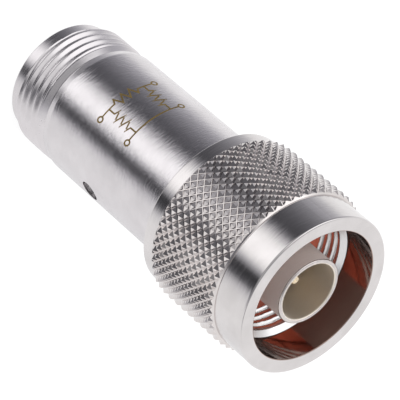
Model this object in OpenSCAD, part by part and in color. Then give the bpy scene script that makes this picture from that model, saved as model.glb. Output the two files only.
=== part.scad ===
// Fixed coaxial attenuator: a threaded plug with a knurled coupling nut at the top,
// the matching threaded jack at the bottom, and a resistor card between them.
// The part stands on the jack's end face. Z runs along the axis, up towards the plug.

/* [Housing] */
// Outside diameter of the housing tube
housing_d = 16; // [15.9:0.1:17]
// Thickness of the housing's wall around the card carrier
housing_wall = 2; // [1.7:0.05:2.2]
// Thickness of the housing's wall around the plug shell's spigot
socket_wall = 1.4; // [1.2:0.05:1.6]
// Major diameter of the jack thread
jack_thread_d = 15.875; // [15.5:0.025:15.9]
// Length from the jack end to the housing's full diameter
jack_length = 8.05; // [7.2:0.05:9]
// Diameter of the plain pilot ahead of the thread
jack_pilot_d = 14.55; // [14:0.05:15]
// Length of the plain pilot
jack_pilot_length = 1.55; // [1.2:0.05:1.8]
// Length of the chamfer between the pilot and the thread's root
jack_lead_length = 0.2; // [0.1:0.05:0.4]
// Length of root ahead of the first ridge
jack_root_length = 0.35; // [0.2:0.05:0.5]
// Diameter of the relief groove behind the thread
jack_relief_d = 14.7; // [14.4:0.05:15]
// Length of the relief groove's floor
jack_relief_length = 0.45; // [0.3:0.05:0.6]
// Chamfer on the pilot's end edge
jack_end_chamfer = 0.2; // [0.1:0.05:0.4]
// Length of the sloped shoulder at the housing tube's end
shoulder_length = 0.9; // [0.6:0.05:1.2]
// Diameter at the foot of the sloped shoulder
shoulder_foot_d = 15.6; // [15.2:0.05:15.8]
// Diameter of the jack bore that takes the mating outer contact
jack_bore_d = 8.2; // [8.12:0.02:8.6]
// Depth of the jack bore
jack_bore_depth = 9.1; // [8.8:0.1:10]
// Lead-in chamfer of the jack bore
jack_bore_chamfer = 0.35; // [0.1:0.05:0.6]

/* [Threads] */
// Turns in each inch of thread
threads_per_inch = 24; // [22:1:26]
// Depth of the jack's thread
jack_thread_depth = 0.4; // [0.3:0.02:0.44]
// Width of the flat crests on the jack
jack_crest_width = 0.28; // [0.2:0.02:0.34]
// Depth of the nut's thread
nut_thread_depth = 0.36; // [0.2:0.02:0.4]
// Width of the flat crests in the nut
nut_crest_width = 0.46; // [0.3:0.02:0.5]
// Width of the flat floor between two ridges
thread_root_width = 0.1; // [0.04:0.02:0.14]

/* [Air line and beads] */
// Inside diameter of the outer conductor
line_d = 7; // [6.6:0.1:7.4]
// Diameter of the centre conductor
conductor_d = 3.04; // [2.6:0.02:3.4]
// Length of air line between the jack bore and its bead
jack_line_length = 1.9; // [1:0.1:3]
// Diameter of the bead pockets
bead_pocket_d = 8.6; // [8.2:0.1:9]
// Length of each insulating bead
bead_length = 3; // [2:0.1:4]
// Diameter of the centre conductors' stems, which pass through the beads to the card
stem_d = 2.5; // [2.2:0.05:2.6]

/* [Attenuator card] */
// Length of the cavity and of the card carrier
cavity_length = 10; // [9:0.25:13]
// Width of the ceramic card
card_width = 10; // [9:0.1:10.8]
// Thickness of the ceramic card
card_thickness = 0.5; // [0.3:0.05:0.8]
// Distance from each end of the cavity to the card
card_end_gap = 1; // [0.6:0.1:1.6]
// Length of card gripped in each contact's slot
card_grip = 1.2; // [0.6:0.1:1.6]

/* [Lock screw] */
// Thread diameter of the lock screw
lock_screw_d = 2.5; // [2:0.1:2.8]
// Height of the lock screw above the jack end
lock_screw_z = 15.85; // [15.8:0.05:17]
// Bearing of the lock screw around the axis, in degrees
lock_screw_bearing = -18.9; // [-180:0.1:180]
// Depth of the screw's outer face below the housing surface
lock_screw_sink = 0.45; // [0.2:0.05:0.8]
// Width across flats of the screw's hexagon socket
lock_screw_hex = 1.27; // [0.9:0.01:1.4]
// Depth of the hexagon socket
lock_screw_hex_depth = 0.8; // [0.5:0.05:1]

/* [Plug shell] */
// Outside diameter of the tubular outer contact
ferrule_d = 8.1; // [7.9:0.02:8.1]
// Chamfer on the edges of the tube's front face
ferrule_chamfer = 0.12; // [0.05:0.01:0.2]
// Distance from the nut's rim back to the tube's front face
ferrule_recess = 0.8; // [0:0.1:1.5]
// Distance from the nut's rim back to the face that carries the gasket
gasket_seat_depth = 11.2; // [10.5:0.1:12]
// Outside diameter of the flange that guides the nut
guide_d = 14.3; // [14:0.05:14.5]
// Length of the spigot inside the housing
spigot_length = 4.75; // [4.5:0.25:7]
// Diameter of the plug pin
pin_d = 1.65; // [1.5:0.01:1.7]
// Diameter of the pin's flat tip
pin_tip_d = 0.85; // [0.6:0.05:1.1]
// Length of the pin's tapered tip
pin_taper = 0.7; // [0.4:0.05:1]
// Distance from the tube's front face back to the pin's tip
pin_tip_recess = 2.2; // [1.6:0.1:3]
// Distance from the tube's front face back to the pin's shoulder
pin_shoulder_recess = 5.3; // [5:0.05:6]

/* [Jack socket] */
// Diameter of the socket's bore
socket_bore_d = 1.68; // [1.5:0.02:1.9]
// Depth of the socket's bore
socket_bore_depth = 4.6; // [4:0.1:5.5]
// Width of the socket's slots
socket_slot_w = 0.25; // [0.15:0.05:0.4]
// Distance from the jack bore's floor to the socket's tip
socket_reach = 5.25; // [4.8:0.05:5.4]

/* [Coupling nut] */
// Length of the nut
nut_length = 17; // [16:0.25:19]
// Diameter of the plain front band
nut_band_d = 19.7; // [19.4:0.1:20]
// Length of the plain front band
nut_band_length = 4.4; // [3.5:0.1:5]
// Diameter of the plain rear collar
nut_collar_d = 19.8; // [19.4:0.1:20.2]
// Length of the plain rear collar
nut_collar_length = 1.75; // [1.2:0.05:2.4]
// Chamfer on the nut's outer edges
nut_chamfer = 0.18; // [0.1:0.02:0.4]
// Diameter of the nut's mouth
nut_mouth_d = 16.2; // [16:0.05:16.6]
// Depth of the nut's mouth
nut_mouth_depth = 4.15; // [3.5:0.05:4.6]
// Minor diameter of the nut's thread
nut_thread_d = 14.8; // [14.7:0.02:14.9]
// Length of the chamfer that leads into the thread
nut_lead_length = 0.55; // [0.3:0.05:0.8]
// Length of the nut's thread
nut_thread_length = 3.6; // [3:0.1:4.6]
// Diameter of the clearance bored behind the thread and around the snap ring
nut_relief_d = 15.9; // [15.7:0.05:16.2]
// Length of the bore that runs on the guide flange
nut_guide_length = 4.2; // [3.8:0.1:4.6]
// Gap between the nut's rear face and the housing
nut_gap = 0.25; // [0.15:0.05:0.5]

/* [Knurl] */
// Diameter over the knurl's points
knurl_d = 20.9; // [20.6:0.1:21.4]
// Depth of the knurl
knurl_depth = 0.38; // [0.3:0.02:0.5]
// Number of points around the nut in one row
knurl_starts = 54; // [40:1:60]
// Distance along the axis between rows in line
knurl_pitch = 1.14; // [1:0.02:1.4]

/* [Rings] */
// Thickness of the gasket
gasket_thickness = 1.6; // [1:0.1:1.8]
// Outside diameter of the gasket
gasket_d = 14.6; // [13.6:0.1:14.7]
// Thickness of the snap ring
snap_ring_thickness = 1; // [0.8:0.05:1.1]
// Radial width of the snap ring
snap_ring_width = 0.9; // [0.7:0.05:1]
// Outside diameter of the snap ring
snap_ring_d = 15.3; // [15.1:0.05:15.4]
// Width of the snap ring's split
snap_ring_split = 3; // [1.5:0.1:5]
// Height of the snap ring above the nut's rear face
snap_ring_height = 2.05; // [1.8:0.05:2.4]
// Diameter of the seal ring's section
seal_section_d = 1.06; // [0.9:0.02:1.1]
// Distance from the top of the spigot down to the seal ring's groove
seal_top_margin = 0.5; // [0.3:0.05:0.8]

/* [Clearances] */
// Gap on each side between pieces that seat in a bore
seat_gap = 0.02; // [0.01:0.01:0.05]
// Gap between the card's faces and what grips them
card_gap = 0.02; // [0.01:0.01:0.04]
// Radial running gap between the nut and the guide flange
running_gap = 0.08; // [0.04:0.01:0.1]
// Gap above and below the snap ring
snap_ring_gap = 0.06; // [0.04:0.01:0.1]
// Radial gap between the gasket and the tube
gasket_gap = 0.1; // [0.05:0.05:0.4]

/* [Hidden] */
$fn = 96;
// Overshoot that lets a cut pass cleanly through a face
cut = 0.5;

// Heights above the jack end
jack_bead_z = jack_bore_depth + jack_line_length;
cavity_z = jack_bead_z + bead_length;
cavity_top_z = cavity_z + cavity_length;
housing_top_z = cavity_top_z + spigot_length;
nut_rear_z = housing_top_z + nut_gap;
overall_length = nut_rear_z + nut_length;
plug_bead_top_z = cavity_top_z + bead_length;
gasket_seat_z = overall_length - gasket_seat_depth;
ferrule_front_z = overall_length - ferrule_recess;
pin_tip_z = ferrule_front_z - pin_tip_recess;
pin_shoulder_z = ferrule_front_z - pin_shoulder_recess;
socket_tip_z = jack_bore_depth - socket_reach;
card_bottom_z = cavity_z + card_end_gap;
card_top_z = cavity_top_z - card_end_gap;
snap_ring_z = nut_rear_z + snap_ring_height;
snap_groove_z = snap_ring_z - snap_ring_gap;
snap_groove_top_z = snap_ring_z + snap_ring_thickness + snap_ring_gap;

// Rings at the thread's pitch stand for its turns
thread_pitch = 25.4 / threads_per_inch;

// Radii
housing_r = housing_d / 2;
jack_thread_r = jack_thread_d / 2;
jack_pilot_r = jack_pilot_d / 2;
jack_bore_r = jack_bore_d / 2;
line_r = line_d / 2;
conductor_r = conductor_d / 2;
bead_pocket_r = bead_pocket_d / 2;
stem_r = stem_d / 2;
cavity_r = housing_r - housing_wall;
ferrule_r = ferrule_d / 2;
guide_r = guide_d / 2;
spigot_r = housing_r - socket_wall;
snap_ring_r = snap_ring_d / 2;
snap_ring_inner_r = snap_ring_r - snap_ring_width;

// The snap ring closes into this groove far enough to pass through the nut's guide bore
snap_groove_r = guide_r - snap_ring_width - running_gap;
nut_guide_r = guide_r + running_gap;

// The seal ring fills its groove between the spigot and the housing
seal_groove_depth = seal_section_d - 2 * seat_gap;
seal_groove_width = seal_section_d + 2 * seat_gap;
seal_groove_top_z = housing_top_z - seal_top_margin;
seal_z = seal_groove_top_z - seal_groove_width / 2;

// The knurl is a raised sleeve, and its hidden inner wall lies inside the nut
nut_band_r = nut_band_d / 2;
nut_collar_r = nut_collar_d / 2;
knurl_crest_r = knurl_d / 2;
knurl_root_r = knurl_crest_r - knurl_depth;
knurl_end_step = 0.1;
knurl_end_r = min(nut_band_r, nut_collar_r) - knurl_end_step;
knurl_seat_step = 0.15;
knurl_seat_r = knurl_end_r - knurl_seat_step;
knurl_core_depth = 0.6;
knurl_core_r = knurl_seat_r - knurl_core_depth;
knurl_overlap = 0.3;
knurl_bottom_z = nut_rear_z + nut_collar_length;
knurl_top_z = overall_length - nut_band_length;
knurl_rows = round(2 * (knurl_top_z - knurl_bottom_z) / knurl_pitch);
knurl_row_height = (knurl_top_z - knurl_bottom_z) / knurl_rows;
knurl_columns = 2 * knurl_starts;

// Colours
plated_colour = [0.78, 0.77, 0.76];
contact_colour = [0.86, 0.70, 0.38];
gasket_colour = [0.50, 0.16, 0.10];
bead_colour = [0.93, 0.92, 0.88];

// Turns a half section around the axis
module revolve(section) {
    rotate_extrude() polygon(section);
}

// Plain ring between two radii
module ring(inner_r, outer_r, bottom_z, height) {
    revolve([
        [inner_r, bottom_z], [outer_r, bottom_z],
        [outer_r, bottom_z + height], [inner_r, bottom_z + height]
    ]);
}

// Half section of a thread's rings, which rise from one radius to another; way is 1 upwards and -1 downwards
function thread_section(count, foot_r, peak_r, foot_width, peak_width, start_z, way) =
    let (flank = (thread_pitch - foot_width - peak_width) / 2)
    [
        for (index = [0 : count - 1])
            let (z = start_z + way * index * thread_pitch)
                each [
                    [foot_r, z],
                    [peak_r, z + way * flank],
                    [peak_r, z + way * (flank + peak_width)],
                    [foot_r, z + way * (2 * flank + peak_width)]
                ]
    ];

// Places a child on the lock screw's line, with its own Z pointing outwards
module on_screw_line() {
    rotate([0, 0, lock_screw_bearing])
        translate([0, 0, lock_screw_z])
            rotate([0, 90, 0])
                children();
}

// Turned housing with the jack at its lower end
module body_housing() {
    shoulder_z = jack_length - shoulder_length;
    relief_z = shoulder_z - jack_relief_length;
    relief_r = jack_relief_d / 2;
    root_r = jack_thread_r - jack_thread_depth;
    root_z = jack_pilot_length + jack_lead_length;
    thread_z = root_z + jack_root_length;
    ridge_count = floor((relief_z - thread_z) / thread_pitch);
    ridges = thread_section(
        ridge_count, root_r, jack_thread_r, thread_root_width, jack_crest_width, thread_z, 1);
    // The last ridge slopes straight down to the relief groove
    last_crest = len(ridges) - 2;
    color(plated_colour)
    difference() {
        revolve([
            [jack_bore_r + jack_bore_chamfer, 0],
            [jack_pilot_r - jack_end_chamfer, 0],
            [jack_pilot_r, jack_end_chamfer],
            [jack_pilot_r, jack_pilot_length],
            [root_r, root_z],
            each [for (index = [0 : last_crest]) ridges[index]],
            [relief_r, relief_z],
            [relief_r, shoulder_z],
            [shoulder_foot_d / 2, shoulder_z],
            [housing_r, jack_length],
            [housing_r, housing_top_z],
            [spigot_r, housing_top_z],
            [spigot_r, cavity_top_z],
            [cavity_r, cavity_top_z],
            [cavity_r, cavity_z],
            [bead_pocket_r, cavity_z],
            [bead_pocket_r, jack_bead_z],
            [line_r, jack_bead_z],
            [line_r, jack_bore_depth],
            [jack_bore_r, jack_bore_depth],
            [jack_bore_r, jack_bore_chamfer]
        ]);
        on_screw_line()
            translate([0, 0, cavity_r - cut])
                cylinder(d = lock_screw_d, h = housing_wall + 2 * cut);
    }
}

// Turned outer contact of the plug, with the guide flange and the spigot
module plug_shell() {
    shell_spigot_r = spigot_r - seat_gap;
    seal_groove_r = shell_spigot_r - seal_groove_depth;
    seal_groove_z = seal_groove_top_z - seal_groove_width;
    color(plated_colour)
    revolve([
        [bead_pocket_r, cavity_top_z],
        [shell_spigot_r, cavity_top_z],
        [shell_spigot_r, seal_groove_z],
        [seal_groove_r, seal_groove_z],
        [seal_groove_r, seal_groove_top_z],
        [shell_spigot_r, seal_groove_top_z],
        [shell_spigot_r, housing_top_z],
        [guide_r, housing_top_z],
        [guide_r, snap_groove_z],
        [snap_groove_r, snap_groove_z],
        [snap_groove_r, snap_groove_top_z],
        [guide_r, snap_groove_top_z],
        [guide_r, gasket_seat_z],
        [ferrule_r, gasket_seat_z],
        [ferrule_r, ferrule_front_z - ferrule_chamfer],
        [ferrule_r - ferrule_chamfer, ferrule_front_z],
        [line_r + ferrule_chamfer, ferrule_front_z],
        [line_r, ferrule_front_z - ferrule_chamfer],
        [line_r, plug_bead_top_z],
        [bead_pocket_r, plug_bead_top_z]
    ]);
}

// Radius of one knurl vertex: points and hollows alternate, and the end rows run out
function knurl_radius(column, row) =
    row <= 0 || row >= knurl_rows ? knurl_end_r :
    (column + row) % 2 == 0 ? knurl_crest_r : knurl_root_r;

// Height of one row of knurl vertices, with a hidden row sunk into the nut at each end
function knurl_height(row) =
    row < 0 ? knurl_bottom_z - knurl_overlap :
    row > knurl_rows ? knurl_top_z + knurl_overlap :
    knurl_bottom_z + row * knurl_row_height;

// One ring of vertices around the axis
function knurl_ring(row) = [
    for (column = [0 : knurl_columns - 1])
        let (angle = 360 * column / knurl_columns, radius = knurl_radius(column, row))
            [radius * cos(angle), radius * sin(angle), knurl_height(row)]
];

// One ring of the hidden inner wall
function knurl_core_ring(row) = [
    for (column = [0 : knurl_columns - 1])
        let (angle = 360 * column / knurl_columns)
            [knurl_core_r * cos(angle), knurl_core_r * sin(angle), knurl_height(row)]
];

// Sleeve of four-sided points, with each square split along its hollows
module knurl_sleeve() {
    rings = concat(
        [for (row = [-1 : knurl_rows + 1]) knurl_ring(row)],
        [knurl_core_ring(knurl_rows + 1), knurl_core_ring(-1)]
    );
    ring_count = len(rings);
    points = [for (one_ring = rings) for (vertex = one_ring) vertex];
    faces = [
        for (index = [0 : ring_count - 1])
        for (column = [0 : knurl_columns - 1])
            let (
                next_column = (column + 1) % knurl_columns,
                here = index * knurl_columns,
                above = ((index + 1) % ring_count) * knurl_columns,
                a = here + column,
                b = here + next_column,
                c = above + next_column,
                d = above + column
            )
            each (column + index) % 2 == 1 ? [[a, d, b], [b, d, c]] : [[a, c, b], [a, d, c]]
    ];
    polyhedron(points, faces);
}

// Knurled coupling nut that turns on the plug shell
module coupling_nut() {
    mouth_r = nut_mouth_d / 2;
    thread_r = nut_thread_d / 2;
    relief_r = nut_relief_d / 2;
    thread_top_z = overall_length - nut_mouth_depth - nut_lead_length;
    thread_bottom_z = thread_top_z - nut_thread_length;
    guide_top_z = nut_rear_z + nut_guide_length;
    groove_count = floor(nut_thread_length / thread_pitch);
    grooves = thread_section(
        groove_count, thread_r, thread_r + nut_thread_depth, nut_crest_width, thread_root_width,
        thread_top_z, -1);
    color(plated_colour)
    union() {
        revolve([
            [nut_guide_r, nut_rear_z],
            [nut_collar_r - nut_chamfer, nut_rear_z],
            [nut_collar_r, nut_rear_z + nut_chamfer],
            [nut_collar_r, knurl_bottom_z],
            [knurl_seat_r, knurl_bottom_z],
            [knurl_seat_r, knurl_top_z],
            [nut_band_r, knurl_top_z],
            [nut_band_r, overall_length - nut_chamfer],
            [nut_band_r - nut_chamfer, overall_length],
            [mouth_r, overall_length],
            [mouth_r, overall_length - nut_mouth_depth],
            each grooves,
            [thread_r, thread_bottom_z],
            [relief_r, thread_bottom_z],
            [relief_r, guide_top_z],
            [nut_guide_r, guide_top_z],
            [nut_guide_r, snap_groove_top_z],
            [relief_r, snap_groove_top_z],
            [relief_r, snap_groove_z],
            [nut_guide_r, snap_groove_z]
        ]);
        knurl_sleeve();
    }
}

// Split snap ring that holds the nut on the plug shell
module retaining_ring() {
    color([0.72, 0.66, 0.50])
    difference() {
        ring(snap_ring_inner_r, snap_ring_r, snap_ring_z, snap_ring_thickness);
        translate([snap_groove_r - cut, -snap_ring_split / 2, snap_ring_z - cut])
            cube([snap_ring_r - snap_groove_r + 2 * cut, snap_ring_split, snap_ring_thickness + 2 * cut]);
    }
}

// Silicone gasket at the foot of the tube
module gasket() {
    color(gasket_colour)
    ring(ferrule_r + gasket_gap, gasket_d / 2, gasket_seat_z, gasket_thickness);
}

// Rubber seal ring on the spigot
module seal_ring() {
    color([0.10, 0.10, 0.10])
    translate([0, 0, seal_z])
        rotate_extrude()
            translate([spigot_r - seal_section_d / 2, 0])
                circle(d = seal_section_d - 2 * seat_gap);
}

// Slot across a contact's inner end that takes the card, open towards the card
module card_slot(bottom_z, height) {
    slot_w = card_thickness + 2 * card_gap;
    rotate([0, 0, lock_screw_bearing])
        translate([-slot_w / 2, -conductor_d, bottom_z])
            cube([slot_w, 2 * conductor_d, height]);
}

// Gold plated pin of the plug
module plug_pin() {
    inner_end_z = card_top_z - card_grip;
    pin_r = pin_d / 2;
    color(contact_colour)
    difference() {
        revolve([
            [0, inner_end_z],
            [stem_r, inner_end_z],
            [stem_r, plug_bead_top_z],
            [conductor_r, plug_bead_top_z],
            [conductor_r, pin_shoulder_z],
            [pin_r, pin_shoulder_z],
            [pin_r, pin_tip_z - pin_taper],
            [pin_tip_d / 2, pin_tip_z],
            [0, pin_tip_z]
        ]);
        card_slot(inner_end_z - cut, card_grip + card_gap + cut);
    }
}

// Gold plated socket of the jack, with two crossed slots that make four springs
module jack_socket() {
    inner_end_z = card_bottom_z + card_grip;
    slot_length = socket_bore_depth - socket_bore_d / 2;
    color(contact_colour)
    difference() {
        revolve([
            [socket_bore_d / 2, socket_tip_z],
            [conductor_r, socket_tip_z],
            [conductor_r, jack_bead_z],
            [stem_r, jack_bead_z],
            [stem_r, inner_end_z],
            [0, inner_end_z],
            [0, socket_tip_z + socket_bore_depth],
            [socket_bore_d / 2, socket_tip_z + socket_bore_depth]
        ]);
        for (turn = [0, 90])
            rotate([0, 0, turn])
                translate([-conductor_d, -socket_slot_w / 2, socket_tip_z - cut])
                    cube([2 * conductor_d, socket_slot_w, slot_length + cut]);
        card_slot(card_bottom_z - card_gap, card_grip + card_gap + cut);
    }
}

// Insulating bead between a contact's stem and its pocket
module bead(bottom_z) {
    color(bead_colour)
    ring(stem_r + seat_gap, bead_pocket_r - seat_gap, bottom_z, bead_length);
}

module plug_bead() {
    bead(cavity_top_z);
}

module jack_bead() {
    bead(jack_bead_z);
}

// Half shell on one side of the card, with half of the air line cut along it
module carrier_half(turn) {
    color([0.80, 0.72, 0.48])
    rotate([0, 0, lock_screw_bearing + turn])
    difference() {
        ring(line_r, cavity_r - seat_gap, cavity_z, cavity_length);
        translate([card_thickness / 2 - 2 * cavity_r, -cavity_r, cavity_z - cut])
            cube([2 * cavity_r, 2 * cavity_r, cavity_length + 2 * cut]);
    }
}

module carrier_half_a() {
    carrier_half(0);
}

module carrier_half_b() {
    carrier_half(180);
}

// Ceramic card between the carrier halves
module attenuator_card() {
    color([0.90, 0.90, 0.86])
    rotate([0, 0, lock_screw_bearing])
        translate([-card_thickness / 2, -card_width / 2, card_bottom_z])
            cube([card_thickness, card_width, card_top_z - card_bottom_z]);
}

// Grub screw with a hexagon socket, which presses the carrier onto the card
module lock_screw() {
    screw_length = housing_wall - lock_screw_sink;
    hex_d = lock_screw_hex / cos(30);
    color([0.35, 0.35, 0.36])
    on_screw_line()
        translate([0, 0, cavity_r])
            difference() {
                cylinder(d = lock_screw_d - 2 * seat_gap, h = screw_length);
                translate([0, 0, screw_length - lock_screw_hex_depth])
                    cylinder(d = hex_d, h = lock_screw_hex_depth + cut, $fn = 6);
            }
}

body_housing();
plug_shell();
coupling_nut();
retaining_ring();
gasket();
seal_ring();
plug_pin();
plug_bead();
jack_socket();
jack_bead();
carrier_half_a();
carrier_half_b();
attenuator_card();
lock_screw();
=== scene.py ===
"""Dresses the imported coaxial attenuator: turned and plated metal, a knurled nut and a red gasket.

Lengths are written in millimetres, in the frame of the solids, and turned into metres in each mesh.
"""

import math

import bpy
import numpy as np
from mathutils import Matrix, Vector


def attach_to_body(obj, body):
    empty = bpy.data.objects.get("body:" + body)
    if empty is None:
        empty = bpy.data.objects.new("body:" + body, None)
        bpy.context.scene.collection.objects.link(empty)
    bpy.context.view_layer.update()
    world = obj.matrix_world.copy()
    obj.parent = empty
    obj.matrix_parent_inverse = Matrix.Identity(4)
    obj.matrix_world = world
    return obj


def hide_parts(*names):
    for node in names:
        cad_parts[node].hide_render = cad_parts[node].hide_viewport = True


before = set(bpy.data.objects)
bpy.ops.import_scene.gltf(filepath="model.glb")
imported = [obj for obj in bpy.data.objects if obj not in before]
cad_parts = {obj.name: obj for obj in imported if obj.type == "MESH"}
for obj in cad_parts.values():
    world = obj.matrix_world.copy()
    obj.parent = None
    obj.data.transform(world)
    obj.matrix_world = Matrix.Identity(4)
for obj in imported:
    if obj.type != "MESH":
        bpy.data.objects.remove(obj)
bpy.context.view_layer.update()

MM = 0.001
FULL_TURN = 2 * math.pi

# Turned shapes
PLAIN_COLUMNS = 180
SHARP_ANGLE = math.radians(40)
# Smallest ring, which stands for a point on the axis
AXIS_R = 0.02
# Steps around a rounded edge, and how far from it a support ring keeps the flat side flat
EDGE_STEPS = 4
SUPPORT_GAP = 0.04
# Largest share of a side that one edge may take, and the side's least length for a support ring, in edges
EDGE_SHARE = 0.45
SUPPORT_EDGES = 2.5

# Housing and jack
HOUSING_R = 8.0
HOUSING_TOP = 28.75
JACK_LENGTH = 8.05
JACK_THREAD_R = 7.9375
JACK_ROOT_R = 7.53
JACK_PILOT_R = 7.275
JACK_PILOT_LENGTH = 1.55
JACK_LEAD_LENGTH = 0.35
JACK_RELIEF_R = 7.35
JACK_RELIEF_Z = 6.7
JACK_RELIEF_SLOPE = 0.73
JACK_THREAD_LIFT = 0.2
JACK_THREAD_END = 5.75
JACK_RUN_OUT = 0.4
JACK_THREAD_TOP = 7.0
SHOULDER_Z = 7.15
SHOULDER_FOOT_R = 7.8
JACK_BORE_R = 4.1
JACK_BORE_DEPTH = 9.1
JACK_BORE_CHAMFER = 0.35
LINE_R = 3.5
BEAD_POCKET_R = 4.3
JACK_BEAD_Z = 11.0
CAVITY_R = 6.0
CAVITY_Z = 14.0
CAVITY_TOP = 24.0
SPIGOT_R = 6.6
HOUSING_COLUMNS = 240

# Threads of both ends
PITCH = 25.4 / 24
ROWS_PER_PITCH = 26
NUT_THREAD_DEPTH = 0.36
# Where each flank starts and ends, as shares of the way from the middle of the crest to that of the root
JACK_FLANK = (0.13, 0.93)
NUT_FLANK = (0.38, 0.94)
# How straight a flank is, the rest of it being rounded towards both ends
FLANK_STRAIGHT = 0.8

# Lock screw
SCREW_R = 1.23
SCREW_HOLE_R = 1.25
SCREW_Z = 15.85
SCREW_BEARING = math.radians(-18.9)
SCREW_SINK = 0.45
SCREW_POINT_CHAMFER = 0.25
SCREW_END_CHAMFER = 0.12
SCREW_HEX = 1.27
SCREW_HEX_DEPTH = 0.8
SCREW_HEX_LEAD = 0.08
SCREW_HEX_FLARE = 1.12
SCREW_DRILL_CONE = 0.25
SCREW_COLUMNS = 48

# Plug shell, pin and gasket
SHELL_SPIGOT_R = 6.58
SEAL_GROOVE_R = 5.56
SEAL_GROOVE_Z = 27.15
SEAL_GROOVE_TOP = 28.25
GUIDE_R = 7.15
SNAP_GROOVE_R = 6.17
SNAP_GROOVE_Z = 30.99
SNAP_GROOVE_TOP = 32.11
GASKET_SEAT = 34.8
GASKET_TOP = 36.4
GASKET_R = 7.3
GASKET_INNER_R = 4.15
FERRULE_R = 4.05
FERRULE_FRONT = 45.2
PLUG_BEAD_TOP = 27.0
PIN_R = 0.825
PIN_TIP_R = 0.425
PIN_TIP_Z = 43.0
PIN_TAPER = 0.7
PIN_CENTRE_MARK = 0.16
PIN_COLUMNS = 64
PIN_SHOULDER_Z = 39.9
CONDUCTOR_R = 1.52
STEM_R = 1.25
PIN_INNER_END = 21.8

# Coupling nut
NUT_REAR = 29.0
NUT_FRONT = 46.0
NUT_GUIDE_R = 7.23
NUT_GUIDE_TOP = 33.2
NUT_COLLAR_R = 9.9
NUT_BAND_R = 9.85
NUT_MOUTH_R = 8.1
NUT_MOUTH_FLOOR = 41.85
NUT_THREAD_R = 7.4
NUT_THREAD_TOP = 41.3
NUT_THREAD_BOTTOM = 37.7
NUT_THREAD_START = 0.3
NUT_RELIEF_R = 7.95
KNURL_CREST_R = 10.45
KNURL_ROOT_R = 10.07
KNURL_END_R = 9.9
KNURL_SEAT_R = 9.7
KNURL_CORE_R = 9.3
KNURL_BOTTOM = 30.75
KNURL_TOP = 41.6
KNURL_STARTS = 54
KNURL_ROWS = 19
# Width of the grooves' floors and of the points' flat tops, as shares of half a point
KNURL_FLOOR = 0.08
KNURL_FLAT = 0.05
# Each point leans a little, and is a little lower than the crest
KNURL_SEED = 24
KNURL_LEAN = 0.04
KNURL_LOWEST = 0.93
# The run-out at both ends: a steep step, and then a gentler slope
KNURL_STEP_R = 10.1
KNURL_STEP_SLOPE = 1.7
KNURL_RUN_OUT_SLOPE = 0.75
KNURL_SHARP_ANGLE = math.radians(12)

# Etched symbol on the housing
MARK_CENTRE_ANGLE = math.radians(-113)
MARK_CENTRE_Z = 17.2
MARK_WIDTH = 0.2
MARK_STEP = 0.5
MARK_PROUD = 0.006
MARK_SINK = 0.02

# Camera, as fitted to the photograph
RIM_CENTRE = Vector((0, 0, NUT_FRONT * MM))
CAMERA_RIGHT = Vector((-0.65576, 0.45226, 0.60452))
CAMERA_DOWN = Vector((0.75497, 0.39282, 0.52508))
CAMERA_FORWARD = Vector((0, 0.80072, -0.59904))
RIM_IN_VIEW = (0.012012, 0.010151, 0.28344)
LENS = 241.52
SENSOR = 36


# Mesh building

def ring(radius, height, columns, turn=0.0):
    """One ring of points around the axis; radius and height are numbers or one value per column."""
    angle = np.arange(columns) * FULL_TURN / columns + turn
    points = np.empty((columns, 3))
    points[:, 0] = radius * np.cos(angle)
    points[:, 1] = radius * np.sin(angle)
    points[:, 2] = height
    return points


def stitch(a, b, count):
    """Faces between two rings of so many points, whose first points are a and b."""
    faces = []
    for i in range(count):
        j = (i + 1) % count
        faces.append((a + i, a + j, b + j, b + i))
    return faces


def mesh_object(name, points, faces, materials, face_materials=None):
    """A smooth shaded mesh object, with points in millimetres."""
    mesh = bpy.data.meshes.new(name)
    mesh.from_pydata((np.asarray(points) * MM).tolist(), [], faces)
    for material in materials:
        mesh.materials.append(material)
    if face_materials is not None:
        mesh.polygons.foreach_set("material_index", np.asarray(face_materials, dtype=np.int32))
    mesh.shade_smooth()
    mesh.set_sharp_from_angle(angle=SHARP_ANGLE)
    mesh.update()
    made = bpy.data.objects.new(name, mesh)
    bpy.context.scene.collection.objects.link(made)
    return made


def object_from_rings(name, rings, materials, ring_materials=None):
    """Closes a list of rings into one surface. A ring's material covers the faces up to the next ring."""
    starts = np.concatenate(([0], np.cumsum([len(r) for r in rings])))
    faces = []
    face_materials = []
    for index, here in enumerate(rings):
        after = (index + 1) % len(rings)
        made = stitch(int(starts[index]), int(starts[after]), len(here))
        faces.extend(made)
        face_materials.extend([ring_materials[index] if ring_materials else 0] * len(made))
    return mesh_object(name, np.concatenate(rings), faces, materials, face_materials)


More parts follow.
